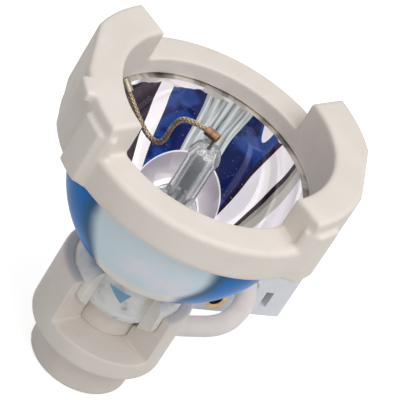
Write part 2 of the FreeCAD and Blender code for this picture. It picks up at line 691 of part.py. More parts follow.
def make_connector(entry, way):
    # The connector stands behind the lamp. It is made square to the axes and then turned.
    body = new_body("connector_housing")
    pad(body, "housing", "plug_tall", "0", [
        ("-{plug_length}", "0"),
        ("0", "0"),
        ("0", "plug_deep"),
        ("-{plug_length}", "plug_deep"),
    ], {})
    soften(body, "Fillet", "soft_edges", lambda edge: not level(edge, 0), "plug_round")
    place = FreeCAD.Placement(FreeCAD.Vector(size("plug_x"), size("plug_y"), 0),
                              FreeCAD.Rotation(size("plug_turn"), 0, 0))

    def fit(item):
        item.Placement = place
        item.setExpression("Placement.Base.x", bind("plug_x"))
        item.setExpression("Placement.Base.y", bind("plug_y"))

    fit(body)
    sockets = []
    for label, radius, depth in (("socket_hole", "socket_radius", "{socket_depth} + {fit_gap}"),
                                 ("socket_tube", "socket_radius", "socket_depth"),
                                 ("socket_space", "socket_bore", "socket_depth")):
        item = solid("Cylinder", label, {"Radius": radius, "Height": depth})
        spot = FreeCAD.Vector(-size("socket_at"), 0, size("socket_height"))
        item.Placement = place * FreeCAD.Placement(spot, FreeCAD.Rotation(FreeCAD.Vector(1, 0, 0), -90))
        sockets.append(item)
    contact = combine("Cut", "socket_contact", sockets[1], sockets[2])
    slot = solid("Box", "slot_space", {"Length": "slot_wide", "Width": "slot_depth", "Height": "slot_tall"})
    corner = FreeCAD.Vector(-size("slot_at") - size("slot_wide") / 2, 0,
                            size("slot_height") - size("slot_tall") / 2)
    slot.Placement = place * FreeCAD.Placement(corner, FreeCAD.Rotation())
    blade = solid("Box", "blade_contact", {
        "Length": "blade_thick", "Width": "{slot_depth} - {blade_back}", "Height": "slot_tall"})
    corner = corner + FreeCAD.Vector((size("slot_wide") - size("blade_thick")) / 2, size("blade_back"), 0)
    blade.Placement = place * FreeCAD.Placement(corner, FreeCAD.Rotation())
    way = FreeCAD.Vector(way)
    way.normalize()
    collar = doc.addObject("Part::Feature", "lead_collar")
    mouth = entry - way * size("collar_length")
    collar.Shape = Part.makeCone(size("collar_mouth"), size("collar_radius"), 2 * size("collar_length"),
                                 mouth, way)
    block = combine("MultiFuse", "housing_form", body, [collar])
    hole = doc.addObject("Part::Feature", "entry_hole")
    depth = size("entry_depth")
    hole.Shape = Part.makeCylinder(size("lead_radius") + size("fit_gap"), 2 * depth, entry - way * depth, way)
    spaces = combine("MultiFuse", "housing_spaces", sockets[0], [slot, hole])
    housing = combine("Cut", "connector", block, spaces)
    body.Label = "housing_block"
    housing.Label = "connector_housing"
    return [housing, contact, blade]


def check(items):
    for item in doc.Objects:
        if "Invalid" in item.State or "Error" in item.State:
            raise RuntimeError("%s failed: %s" % (item.Label, item.getStatusString()))
    for item in items:
        if item.Shape.isNull() or not item.Shape.isValid():
            raise RuntimeError("%s has no valid shape" % item.Label)


fill_sheet()
nodes = [make_base(), make_ring(), make_bowl()]
nodes += make_cements()
nodes.append(rod("burner_sleeve", "sleeve_radius", "window_floor", "sleeve_top",
                 "{shaft_radius} + {fit_gap}"))
nodes.append(make_burner())
nodes += make_current_path()
nodes += make_front_wire()
nodes += make_supply()
doc.recompute()
check(nodes)
os.makedirs("parts", exist_ok=True)
for node in nodes:
    node.Shape.exportStep("parts/%s.step" % node.Label)
    box = node.Shape.BoundBox
    print("%-18s solids %d volume %9.2f z %6.2f to %6.2f" % (
        node.Label, len(node.Shape.Solids), node.Shape.Volume, box.ZMin, box.ZMax))
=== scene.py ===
import json
import math
import bmesh
import bpy
from mathutils import Matrix, Vector, noise


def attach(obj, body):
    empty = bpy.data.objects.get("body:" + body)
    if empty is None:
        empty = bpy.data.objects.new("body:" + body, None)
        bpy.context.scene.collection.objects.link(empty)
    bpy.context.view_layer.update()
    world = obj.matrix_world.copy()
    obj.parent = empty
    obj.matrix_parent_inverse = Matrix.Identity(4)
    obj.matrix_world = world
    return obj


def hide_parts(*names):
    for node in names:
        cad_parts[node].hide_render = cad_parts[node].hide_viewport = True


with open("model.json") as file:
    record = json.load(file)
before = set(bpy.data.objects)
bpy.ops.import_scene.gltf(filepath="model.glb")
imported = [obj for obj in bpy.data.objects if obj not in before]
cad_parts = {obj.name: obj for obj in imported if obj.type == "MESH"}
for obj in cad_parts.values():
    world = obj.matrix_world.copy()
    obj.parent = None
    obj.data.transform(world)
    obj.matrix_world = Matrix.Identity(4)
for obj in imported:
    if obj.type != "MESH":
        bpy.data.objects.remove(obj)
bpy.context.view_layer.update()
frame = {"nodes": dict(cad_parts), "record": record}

mm = 0.001
nodes = frame["nodes"]


# Shader helpers: each one adds a node to a tree and joins its inputs.

def feed(tree, socket, value):
    # What comes from another node is joined, and a plain value is set.
    if isinstance(value, bpy.types.NodeSocket):
        tree.links.new(value, socket)
    elif socket.type == "RGBA":
        socket.default_value = (*value, 1.0)
    else:
        socket.default_value = value


def addNode(tree, kind, inputs=None, **settings):
    node = tree.nodes.new(kind)
    for name, value in settings.items():
        setattr(node, name, value)
    for name, value in (inputs or {}).items():
        feed(tree, node.inputs[name], value)
    return node


def noiseOn(tree, vector, scale, detail=3.0):
    node = addNode(tree, "ShaderNodeTexNoise", {
        "Vector": vector, "Scale": scale, "Detail": detail, "Roughness": 0.55})
    return node.outputs["Fac"]


def rampOn(tree, factor, stops, hard=False):
    node = addNode(tree, "ShaderNodeValToRGB", {"Fac": factor})
    ramp = node.color_ramp
    ramp.interpolation = "CONSTANT" if hard else "LINEAR"
    while len(ramp.elements) < len(stops):
        ramp.elements.new(1.0)
    for element, (spot, color) in zip(ramp.elements, stops):
        element.position = spot
        element.color = (*color, 1.0)
    return node.outputs["Color"]


def mathOn(tree, operation, first, second=0.0):
    node = addNode(tree, "ShaderNodeMath", operation=operation)
    feed(tree, node.inputs[0], first)
    feed(tree, node.inputs[1], second)
    return node.outputs[0]


def plusOn(tree, first, second):
    return mathOn(tree, "ADD", first, second)


def minusOn(tree, first, second):
    return mathOn(tree, "SUBTRACT", first, second)


def timesOn(tree, first, second):
    return mathOn(tree, "MULTIPLY", first, second)


def squareOn(tree, value, middle, scale):
    away = minusOn(tree, value, middle)
    return timesOn(tree, timesOn(tree, away, away), scale)


def rangeOn(tree, value, low, high, toLow=0.0, toHigh=1.0, smooth=True):
    node = addNode(tree, "ShaderNodeMapRange", {
        "Value": value, "From Min": low, "From Max": high, "To Min": toLow, "To Max": toHigh})
    node.interpolation_type = "SMOOTHSTEP" if smooth else "LINEAR"
    return node.outputs["Result"]


def edgeOn(tree, value, place, soft):
    # 0 before a place and 1 past it; with a negative softness the other way round.
    return rangeOn(tree, value, place - soft, place + soft)


def mixOn(tree, factor, first, second):
    node = addNode(tree, "ShaderNodeMix", data_type="RGBA")
    sockets = {socket.identifier: socket for socket in node.inputs}
    feed(tree, sockets["Factor_Float"], factor)
    feed(tree, sockets["A_Color"], first)
    feed(tree, sockets["B_Color"], second)
    return [socket for socket in node.outputs if socket.identifier == "Result_Color"][0]


def bumpOn(tree, height, strength, distance):
    node = addNode(tree, "ShaderNodeBump", {
        "Height": height, "Strength": strength, "Distance": distance})
    return node.outputs["Normal"]


def flatOn(tree, across, up=0.0):
    return addNode(tree, "ShaderNodeCombineXYZ", {"X": across, "Y": up}).outputs[0]


def polarOn(tree, place):
    # The lamp's own coordinates: radians round its axis, and metres up it.
    parts = addNode(tree, "ShaderNodeSeparateXYZ", {"Vector": place})
    return mathOn(tree, "ARCTAN2", parts.outputs["Y"], parts.outputs["X"]), parts.outputs["Z"]


def turnOn(tree, place):
    # The same in degrees and millimetres.
    turn, rise = polarOn(tree, place)
    return timesOn(tree, turn, 180 / math.pi), timesOn(tree, rise, 1000.0)


def newMaterial(name, **sockets):
    material = bpy.data.materials.new(name)
    material.use_nodes = True
    tree = material.node_tree
    shader = tree.nodes["Principled BSDF"]
    for socket, value in sockets.items():
        feed(tree, shader.inputs[socket.replace("_", " ")], value)
    place = addNode(tree, "ShaderNodeTexCoord").outputs["Object"]
    return material, tree, shader, place


def makeGrainGroup():
    # Cloudy tone and fine grain, for every matt or brushed surface of the lamp.
    group = bpy.data.node_groups.new("grain", "ShaderNodeTree")
    face = group.interface
    face.new_socket("Place", in_out="INPUT", socket_type="NodeSocketVector")
    face.new_socket("Tone", in_out="INPUT", socket_type="NodeSocketColor")
    face.new_socket("Shade", in_out="INPUT", socket_type="NodeSocketColor")
    for name in ("Cloud Scale", "Grain Scale", "Cloud", "Grain"):
        face.new_socket(name, in_out="INPUT", socket_type="NodeSocketFloat")
    face.new_socket("Color", in_out="OUTPUT", socket_type="NodeSocketColor")
    face.new_socket("Height", in_out="OUTPUT", socket_type="NodeSocketFloat")
    start = group.nodes.new("NodeGroupInput").outputs
    end = group.nodes.new("NodeGroupOutput").inputs
    cloud = noiseOn(group, start["Place"], start["Cloud Scale"])
    fine = noiseOn(group, start["Place"], start["Grain Scale"], detail=4.0)
    cloudy = timesOn(group, rangeOn(group, cloud, 0.32, 0.68), start["Cloud"])
    grainy = timesOn(group, rangeOn(group, fine, 0.35, 0.65), start["Grain"])
    tone = mixOn(group, cloudy, start["Tone"], start["Shade"])
    tone = mixOn(group, grainy, tone, start["Shade"])
    feed(group, end["Color"], tone)
    feed(group, end["Height"], fine)
    return group


grainGroup = makeGrainGroup()


def grainOn(tree, place, look):
    node = tree.nodes.new("ShaderNodeGroup")
    node.node_tree = grainGroup
    feed(tree, node.inputs["Place"], place)
    for socket, key in (("Tone", "tone"), ("Shade", "shade"), ("Cloud Scale", "cloudScale"),
                        ("Grain Scale", "grainScale"), ("Cloud", "cloud"), ("Grain", "grain")):
        feed(tree, node.inputs[socket], look[key])
    return node.outputs["Color"], node.outputs["Height"]


# The plain finishes: cloud and grain say how far the tone goes over to the shade.
plainLooks = {
    "ceramic": {
        "name": "ceramic", "roughness": 0.6, "metallic": 0.0,
        "tone": (0.77, 0.71, 0.655), "shade": (0.61, 0.54, 0.47),
        "cloudScale": 95.0, "grainScale": 2600.0, "cloud": 0.28, "grain": 0.10, "bump": 0.10},
    "insulation": {
        "name": "leadSleeve", "roughness": 0.42, "metallic": 0.0,
        "tone": (0.77, 0.71, 0.685), "shade": (0.66, 0.60, 0.58),
        "cloudScale": 160.0, "grainScale": 1500.0, "cloud": 0.6, "grain": 0.1, "bump": 0.1},
    "housing": {
        "name": "housingPlastic", "roughness": 0.45, "metallic": 0.0,
        "tone": (0.77, 0.79, 0.82), "shade": (0.66, 0.68, 0.73),
        "cloudScale": 120.0, "grainScale": 1800.0, "cloud": 0.5, "grain": 0.08, "bump": 0.08},
    "tungsten": {
        "name": "tungsten", "roughness": 0.4, "metallic": 1.0,
        "tone": (0.30, 0.30, 0.32), "shade": (0.16, 0.16, 0.17),
        "cloudScale": 300.0, "grainScale": 2500.0, "cloud": 0.5, "grain": 0.3, "bump": 0.1},
    "foil": {
        "name": "foil", "roughness": 0.4, "metallic": 1.0,
        "tone": (0.34, 0.37, 0.36), "shade": (0.22, 0.25, 0.25),
        "cloudScale": 300.0, "grainScale": 1500.0, "cloud": 0.6, "grain": 0.3, "bump": 0.2},
    "braid": {
        "name": "braidWire", "roughness": 0.36, "metallic": 1.0,
        "tone": (0.56, 0.46, 0.33), "shade": (0.24, 0.17, 0.10),
        "cloudScale": 500.0, "grainScale": 3000.0, "cloud": 0.7, "grain": 0.4, "bump": 0.2},
    # the core's near-black tone is painted shade between the strands
    "braidCoreShade": {
        "name": "braidCoreShade", "roughness": 0.5, "metallic": 1.0,
        "tone": (0.10, 0.08, 0.06), "shade": (0.04, 0.03, 0.02),
        "cloudScale": 500.0, "grainScale": 3000.0, "cloud": 0.5, "grain": 0.4, "bump": 0.1},
    "copper": {
        "name": "copper", "roughness": 0.3, "metallic": 1.0,
        "tone": (0.50, 0.29, 0.17), "shade": (0.12, 0.06, 0.04),
        "cloudScale": 800.0, "grainScale": 3000.0, "cloud": 0.7, "grain": 0.3, "bump": 0.2},
    "nickel": {
        "name": "nickel", "roughness": 0.32, "metallic": 1.0,
        "tone": (0.40, 0.36, 0.27), "shade": (0.18, 0.15, 0.10),
        "cloudScale": 600.0, "grainScale": 2500.0, "cloud": 0.7, "grain": 0.3, "bump": 0.2},
    "brass": {
        "name": "brass", "roughness": 0.32, "metallic": 1.0,
        "tone": (0.66, 0.46, 0.22), "shade": (0.34, 0.20, 0.08),
        "cloudScale": 500.0, "grainScale": 2500.0, "cloud": 0.6, "grain": 0.3, "bump": 0.1},
}


def plainMaterial(look):
    material, tree, shader, place = newMaterial(
        look["name"], Roughness=look["roughness"], Metallic=look["metallic"])
    color, height = grainOn(tree, place, look)
    feed(tree, shader.inputs["Base Color"], color)
    feed(tree, shader.inputs["Normal"], bumpOn(tree, height, look["bump"], 0.1 * mm))
    return material


cementLook = {
    "tone": (0.86, 0.84, 0.80), "shade": (0.66, 0.62, 0.57), "roughness": 0.32,
    "cloudScale": 200.0, "grainScale": 1400.0, "cloud": 0.35, "grain": 0.10,
    "waveScale": 420.0, "waveBump": 0.5, "waveDepth": 0.4 * mm, "clear": 0.25, "clearDepth": 3.0 * mm,
}


def cementMaterial():
    # Glassy white cement, wavy and a little clear.
    look = cementLook
    material, tree, shader, place = newMaterial(
        "cement", Roughness=look["roughness"], Subsurface_Weight=look["clear"],
        Subsurface_Radius=(look["clearDepth"],) * 3)
    feed(tree, shader.inputs["Base Color"], grainOn(tree, place, look)[0])
    wave = noiseOn(tree, place, look["waveScale"], detail=2.0)
    feed(tree, shader.inputs["Normal"], bumpOn(tree, wave, look["waveBump"], look["waveDepth"]))
    return material


# Places on the bowl and neck are in degrees round the axis and in mm up it.
mirrorLook = {
    # the glow is painted light: the coating shines in its own tone though it is no lamp
    "roughness": 0.07, "metallic": 0.3, "paintedGlow": 0.42, "coat": 0.25, "coatRoughness": 0.03,
    "navy": (0.006, 0.013, 0.085),
    "bright": (0.018, 0.055, 0.230),
    "plum": (0.022, 0.012, 0.022),
    "white": (0.88, 0.84, 0.86),
    "cream": (0.80, 0.78, 0.72),
    "olive": (0.32, 0.30, 0.26),
    "sage": (0.52, 0.50, 0.45),
    # tones of the streaked grey band, a painted reflection
    "glass": (0.40, 0.43, 0.43), "glassDark": (0.10, 0.13, 0.14), "glassPale": (0.70, 0.72, 0.72),
    "lilac": (0.55, 0.50, 0.54), "lilacDark": (0.36, 0.33, 0.37),
    "dust": (0.5, 0.52, 0.6),
    # where each band starts: the white, cream, olive, sage and grey bands are painted reflections, and the
    # navy and plum are the coating's dark blue with painted dark reflection in it
    "reflectionBands": [(-180, "navy"), (-166, "white"), (-157, "plum"), (-148, "navy"), (-124, "sage"),
              (-113, "plum"), (-104, "navy"), (-72, "white"), (-60, "plum"), (-52, "navy"),
              (-26, "olive"), (-12, "cream"), (4, "white"), (22.6, "sage"), (29.0, "olive"),
              (32.3, "plum"), (34.7, "white"), (49.2, "plum"), (51.5, "navy"), (70.0, "glass"),
              (90.4, "navy"), (108.6, "white"), (117.6, "plum"), (139, "sage"), (150, "white"),
              (160, "navy")],
    # how the zones lean away from upright, from one turn to the other, and how far their edges wander
    "leanTurns": (60.0, 100.0), "leans": (0.028, -0.025), "leanLevel": 45.0,
    "wander": 2.5, "wanderScale": 110.0,
    "mottleScale": 120.0, "dustScale": 2400.0, "dustShare": 0.35,
    "streaked": (70.0, 90.4), "streakScale": 0.55, "streakStretch": 0.10,
    # the torn pale strip below the rim is a painted reflection
    "stripTurns": (84.0, 90.0), "stripLevels": (60.2, 58.7), "stripTear": 5.0, "tearScale": 190.0,
    # one bright spot, a painted highlight
    "highlightTurn": 55.5, "highlightLevel": 54.1, "highlightBow": 0.30,
    # the painted reflection over the neck: its outline, then how far down its line and its band reach
    "neckReflectionTurn": 79.5, "neckReflectionTop": 43.5, "neckReflectionFoot": 33.0, "neckReflectionBow": 0.0062,
    "lineWidth": 0.35, "bandWidth": 5.35,
}


def mirrorMaterial():
    # Blue-black coating with painted reflections in upright bands round the bowl, glowing in its own tone as
    # painted light.
    look = mirrorLook
    material, tree, shader, place = newMaterial(
        "mirrorCoatPaintedReflections", Roughness=look["roughness"], Metallic=look["metallic"], Emission_Strength=look["paintedGlow"],
        Coat_Weight=look["coat"], Coat_Roughness=look["coatRoughness"])
    turn, height = turnOn(tree, place)
    wobble = minusOn(tree, noiseOn(tree, place, look["wanderScale"], detail=1.0), 0.5)
    lean = rangeOn(tree, turn, *look["leanTurns"], *look["leans"], smooth=False)
    bent = plusOn(tree, turn, squareOn(tree, height, look["leanLevel"], lean))
    bent = plusOn(tree, bent, timesOn(tree, wobble, look["wander"]))
    reflectionBands = [((start + 180) / 360, look[name]) for start, name in look["reflectionBands"]]
    tone = rampOn(tree, rangeOn(tree, bent, -180.0, 180.0, smooth=False), reflectionBands, hard=True)

    # brighter blue spots in the dark zones
    red = addNode(tree, "ShaderNodeSeparateColor", {"Color": tone}).outputs["Red"]
    dark = rangeOn(tree, red, 0.015, 0.010)
    spots = rangeOn(tree, noiseOn(tree, place, look["mottleScale"], detail=2.0), 0.50, 0.58)
    tone = mixOn(tree, timesOn(tree, dark, spots), tone, look["bright"])

    # long streaks in the grey band, a painted reflection
    first, last = look["streaked"]
    spot = flatOn(tree, bent, timesOn(tree, height, look["streakStretch"]))
    streaks = noiseOn(tree, spot, look["streakScale"])
    drawn = rampOn(tree, streaks, [
        (0.32, look["glassDark"]), (0.46, look["glass"]), (0.60, look["glassPale"])])
    grey = timesOn(tree, edgeOn(tree, bent, first, 0.1), edgeOn(tree, bent, last, -0.1))
    tone = mixOn(tree, grey, tone, drawn)

    # a torn pale strip below the rim, which is a painted reflection, and one bright spot, a painted highlight
    tear = noiseOn(tree, place, look["tearScale"], detail=2.0)
    torn = plusOn(tree, height, timesOn(tree, tear, look["stripTear"]))
    over = minusOn(tree, torn, rangeOn(tree, turn, *look["stripTurns"], *look["stripLevels"]))
    pale = mixOn(tree, rangeOn(tree, wobble, 0.01, 0.06), look["sage"], look["white"])
    tone = mixOn(tree, edgeOn(tree, over, 0.0, 0.1), tone, pale)
    highlightRise = minusOn(tree, height, squareOn(tree, turn, look["highlightTurn"], look["highlightBow"]))
    tone = mixOn(tree, edgeOn(tree, highlightRise, look["highlightLevel"], 0.1), tone, look["white"])

    # painted reflection over the neck's opening, a pale disc: white line, lilac band, white middle
    bow = squareOn(tree, turn, look["neckReflectionTurn"], look["neckReflectionBow"])
    neckReflection = mathOn(tree, "MAXIMUM", minusOn(tree, look["neckReflectionTop"], bow), look["neckReflectionFoot"])
    below = minusOn(tree, neckReflection, height)
    tone = mixOn(tree, edgeOn(tree, below, 0.0, 0.06), tone, look["white"])
    lilac = mixOn(tree, rangeOn(tree, below, 1.0, 6.0), look["lilacDark"], look["lilac"])
    tone = mixOn(tree, edgeOn(tree, below, look["lineWidth"], 0.1), tone, lilac)
    tone = mixOn(tree, edgeOn(tree, below, look["bandWidth"], 0.15), tone, look["white"])

    specks = noiseOn(tree, place, look["dustScale"], detail=1.0)
    tone = mixOn(tree, rangeOn(tree, specks, 0.72, 0.76, 0.0, look["dustShare"]), tone, look["dust"])
    feed(tree, shader.inputs["Base Color"], tone)
    # painted light: the painted reflections also glow in their own tone
    feed(tree, shader.inputs["Emission Color"], tone)
    return material


bowlLook = {
    "roughness": 0.30, "specular": 0.03,
    "deep": (0.018, 0.18, 0.54),
    "edge": (0.04, 0.14, 0.28),
    "pale": (0.72, 0.84, 0.90), "warm": (0.92, 0.86, 0.92),
    "cream": (0.94, 0.90, 0.84),
    "middle": -99.5,  # where one pale side has its middle; the other is opposite
    # the next three are sines of the angle away from that middle
    "paleReflectionEnds": (0.47, 0.60), "deepStarts": (0.60, 0.70), "creamEnds": (0.62, 0.45),
    "creamLevels": (40.0, 36.0), "narrowLevels": (47.0, 36.0), "narrow": 0.09,
    "softScale": 55.0, "cloudScale": 75.0,
}


def bowlMaterial():
    # Coated glass outside: two pale sides, which are painted reflections, deep blue flanks between them,
    # cream low down.
    look = bowlLook
    material, tree, shader, place = newMaterial(
        "bowlGlass", Roughness=look["roughness"], Specular_IOR_Level=look["specular"])
    turn, height = turnOn(tree, place)
    soft = noiseOn(tree, place, look["softScale"], detail=1.0)
    around = timesOn(tree, minusOn(tree, turn, look["middle"]), math.pi / 180)
    away = mathOn(tree, "ABSOLUTE", mathOn(tree, "SINE", around))
    away = plusOn(tree, away, rangeOn(tree, soft, 0.3, 0.7, -0.05, 0.05))
    away = plusOn(tree, away, rangeOn(tree, height, *look["narrowLevels"], 0.0, look["narrow"], smooth=False))
    cloud = noiseOn(tree, place, look["cloudScale"], detail=2.0)
    # the pale sides are painted reflections
    pale = mixOn(tree, rangeOn(tree, cloud, 0.40, 0.62), look["pale"], look["warm"])
    tone = mixOn(tree, rangeOn(tree, away, *look["paleReflectionEnds"]), pale, look["edge"])
    tone = mixOn(tree, rangeOn(tree, away, *look["deepStarts"]), tone, look["deep"])
    level = plusOn(tree, height, rangeOn(tree, soft, 0.3, 0.7, -1.0, 1.0))
    low = timesOn(tree, rangeOn(tree, level, *look["creamLevels"]), rangeOn(tree, away, *look["creamEnds"]))
    tone = mixOn(tree, low, tone, look["cream"])
    feed(tree, shader.inputs["Base Color"], tone)
    return material


rimLook = {
    "roughness": 0.18, "patches": 3.0,
    "dark": (0.16, 0.16, 0.16), "grey": (0.55, 0.54, 0.53), "bright": (0.95, 0.94, 0.93),
}


def rimMaterial():
    # Polished silvered glass edge at the bowl's mouth, with painted reflections in dark and bright patches
    # round it.
    look = rimLook
    material, tree, shader, place = newMaterial("rimSilver", Roughness=look["roughness"], Metallic=1.0)
    turn = polarOn(tree, place)[0]
    patches = noiseOn(tree, flatOn(tree, turn), look["patches"], detail=4.0)
    tone = rampOn(tree, patches, [(0.36, look["dark"]), (0.45, look["grey"]), (0.54, look["bright"])])
    feed(tree, shader.inputs["Base Color"], tone)
    return material


neckLook = {
    "roughness": 0.10, "ior": 1.35, "clear": 0.35, "milkScale": 260.0,
    "grey": (0.50, 0.54, 0.55), "milky": (0.82, 0.84, 0.84), "white": (0.96, 0.96, 0.94),
    "blue": (0.20, 0.46, 0.68), "amber": (0.78, 0.68, 0.42), "end": (0.97, 0.97, 0.97),
    # the blue arrow: turn of its tip, and how it leans and widens in degrees per mm
    "arrowTip": 23.6, "arrowTop": 26.4, "arrowTurn": -92.0, "arrowLean": 3.35, "arrowWidth": 6.25,
    "amberStarts": (-74.0, -56.0), "amberEnds": (-30.0, -46.0), "amberLevels": (22.5, 26.0),
    "amberShare": 0.6,
    # a painted highlight: the white band near the neck's lower end
    "endHighlightLevels": (20.35, 21.35),
}


def neckMaterial():
    # Clear glass with a milky skin where the cement runs under it.
    look = neckLook
    material, tree, shader, place = newMaterial(
        "neckGlass", Roughness=look["roughness"], IOR=look["ior"], Transmission_Weight=look["clear"])
    turn, height = turnOn(tree, place)
    milky = noiseOn(tree, place, look["milkScale"])
    tone = rampOn(tree, milky, [(0.34, look["grey"]), (0.42, look["milky"]), (0.60, look["white"])])
    rise = minusOn(tree, height, look["arrowTip"])
    away = plusOn(tree, minusOn(tree, turn, look["arrowTurn"]), timesOn(tree, rise, look["arrowLean"]))
    inside = minusOn(tree, timesOn(tree, rise, look["arrowWidth"]), mathOn(tree, "ABSOLUTE", away))
    blue = timesOn(tree, edgeOn(tree, inside, 0.0, 1.0), edgeOn(tree, height, look["arrowTop"], -0.2))
    tone = mixOn(tree, blue, tone, look["blue"])
    amber = timesOn(tree, rangeOn(tree, turn, *look["amberStarts"]), rangeOn(tree, turn, *look["amberEnds"]))
    amber = timesOn(tree, amber, rangeOn(tree, height, *look["amberLevels"], 0.0, look["amberShare"]))
    tone = mixOn(tree, amber, tone, look["amber"])
    # painted highlight: a white band near the neck's lower end
    low, high = look["endHighlightLevels"]
    end = timesOn(tree, edgeOn(tree, height, low, 0.15), edgeOn(tree, height, high, -0.15))
    tone = mixOn(tree, end, tone, look["end"])
    feed(tree, shader.inputs["Base Color"], tone)
    return material


quartzLook = {
    "roughness": 0.04, "ior": 1.42, "clear": 0.8, "streaks": 3.4, "stretch": 14.0,
    "grey": (0.70, 0.73, 0.73), "pale": (0.90, 0.92, 0.92), "white": (1.0, 1.0, 1.0),
}


def quartzMaterial():
    # Clear quartz with drawn streaks along the shaft.
    look = quartzLook
    material, tree, shader, place = newMaterial(
        "quartz", Roughness=look["roughness"], IOR=look["ior"], Transmission_Weight=look["clear"])
    turn, rise = polarOn(tree, place)
    spot = flatOn(tree, turn, timesOn(tree, rise, look["stretch"]))
    streaks = noiseOn(tree, spot, look["streaks"], detail=4.0)
    tone = rampOn(tree, streaks, [(0.34, look["grey"]), (0.50, look["pale"]), (0.64, look["white"])])
    feed(tree, shader.inputs["Base Color"], tone)
    return material


looks = {slotName: plainMaterial(look) for slotName, look in plainLooks.items()}
looks.update({
    "cement": cementMaterial(),
    "bowl_glass": bowlMaterial(),
    "mirror": mirrorMaterial(),
    "rim": rimMaterial(),
    "neck": neckMaterial(),
    "quartz": quartzMaterial(),
})
print("materials", len(looks))


# Camera

view = {
    "place": Vector((-105.770, -486.757, 408.432)) * mm,
    "right": Vector((0.891510708, 0.122039462, 0.436251105)),
    "up": Vector((-0.416470184, 0.599677607, 0.683329608)),
    "back": Vector((-0.178216841, -0.790881241, 0.585444805)),
    "lens": 288.771, "sensor": 36.0,
}


def addCamera():
    data = bpy.data.cameras.new("camera")
    data.lens = view["lens"]
    data.sensor_width = view["sensor"]
    data.clip_start = 0.01
    data.clip_end = 20.0
    camera = bpy.data.objects.new("camera", data)
    bpy.context.scene.collection.objects.link(camera)
    turn = Matrix((view["right"], view["up"], view["back"])).transposed()
    camera.matrix_world = Matrix.Translation(view["place"]) @ turn.to_4x4()
    bpy.context.scene.camera = camera


addCamera()


# Pieces

def addPiece(name, data, slotName, *stoodFor):
    piece = bpy.data.objects.new(name, data)
    bpy.context.scene.collection.objects.link(piece)
    data.materials.clear()
    data.materials.append(looks[slotName])
    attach(piece, "root")
    if stoodFor:
        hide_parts(*stoodFor)
    return piece


def smoothByAngle(mesh, angle):
    shape = bmesh.new()
    shape.from_mesh(mesh)
    bmesh.ops.remove_doubles(shape, verts=shape.verts, dist=0.002 * mm)
    for face in shape.faces:
        face.smooth = True
    for edge in shape.edges:
        edge.smooth = len(edge.link_faces) == 2 and edge.calc_face_angle(0.0) < math.radians(angle)
    shape.to_mesh(mesh)
    shape.free()


def dressNode(node, slotName):
    mesh = nodes[node].data.copy()
    mesh.name = node + "Mesh"
    smoothByAngle(mesh, angle=32)
    return addPiece(node + "_dressed", mesh, slotName, node)


bySlot = {entry["node"]: entry["material_slot"] for entry in frame["record"]["subparts"]}
for node in ("front_ring", "lamp_base", "burner_sleeve", "ring_cement",
             "front_electrode", "rear_electrode", "front_coil", "rear_coil", "front_foil", "rear_foil",
             "front_lead_pin", "rear_lead_pin", "front_crimp", "rear_crimp", "rim_clip",
             "connector_housing", "socket_contact", "blade_contact"):
    dressNode(node, bySlot[node])
print("nodes dressed")


mouldedEdges = {
    "front_ring": {"voxel": 0.34 * mm, "rounds": 10},
    "lamp_base": {"voxel": 0.32 * mm, "rounds": 4},
    "burner_sleeve": {"voxel": 0.25 * mm, "rounds": 3},
}


def soften(piece, voxel, rounds):
    # Moulded edges: an even mesh of small faces, smoothed a little.
    even = piece.modifiers.new("even", "REMESH")
    even.mode = "VOXEL"
    even.voxel_size = voxel
    even.use_smooth_shade = True
    smooth = piece.modifiers.new("smooth", "SMOOTH")
    smooth.factor = 0.5
    smooth.iterations = rounds
    ready = piece.evaluated_get(bpy.context.evaluated_depsgraph_get())
    mesh = bpy.data.meshes.new_from_object(ready)
    piece.modifiers.clear()
    piece.data = mesh


for node, edges in mouldedEdges.items():
    soften(bpy.data.objects[node + "_dressed"], edges["voxel"], edges["rounds"])
print("edges softened")


bowl = {
    "outerRadius": 23.8 * mm, "outerHalf": 25.8 * mm, "outerMiddle": 52.9 * mm,
    "mirrorRadius": 21.6 * mm, "mirrorHalf": 24.0 * mm, "mirrorMiddle": 52.5 * mm,
    "rim": 57.8 * mm, "shoulder": 29.4 * mm,
    "neckRadius": 8.5 * mm, "neckWall": 1.6 * mm, "neckEnd": 19.6 * mm,
    "steps": 40, "turns": 180,
}


def ellipseAt(radius, half, middle, z):
    return radius * math.sqrt(max(0.0, 1 - ((z - middle) / half) ** 2))


def heights(low, high, count, middle, half):
    # Even steps of the ellipse's own angle, so that its lower end stays round.
    first = math.asin((low - middle) / half)
    last = math.asin((high - middle) / half)
    return [middle + half * math.sin(first + (last - first) * n / count) for n in range(count + 1)]


def spunShell(name, profile, turns, angle=2 * math.pi, start=0.0):
    # A closed profile of (out, up) places, spun round the lamp's axis.
    shape = bmesh.new()
    ring = [shape.verts.new((out * math.cos(start), out * math.sin(start), up)) for out, up in profile]
    edges = [shape.edges.new(pair) for pair in zip(ring, ring[1:] + ring[:1])]
    whole = angle >= 2 * math.pi
    bmesh.ops.spin(shape, geom=ring + edges, cent=(0, 0, 0), axis=(0, 0, 1), angle=angle,
                   steps=turns, use_merge=whole, use_duplicate=False)
    bmesh.ops.remove_doubles(shape, verts=shape.verts, dist=0.001 * mm)
    if not whole:
        bmesh.ops.holes_fill(shape, edges=[edge for edge in shape.edges if edge.is_boundary], sides=0)
    bmesh.ops.recalc_face_normals(shape, faces=shape.faces)
    mesh = bpy.data.meshes.new(name)
    shape.to_mesh(mesh)
    shape.free()
    return mesh


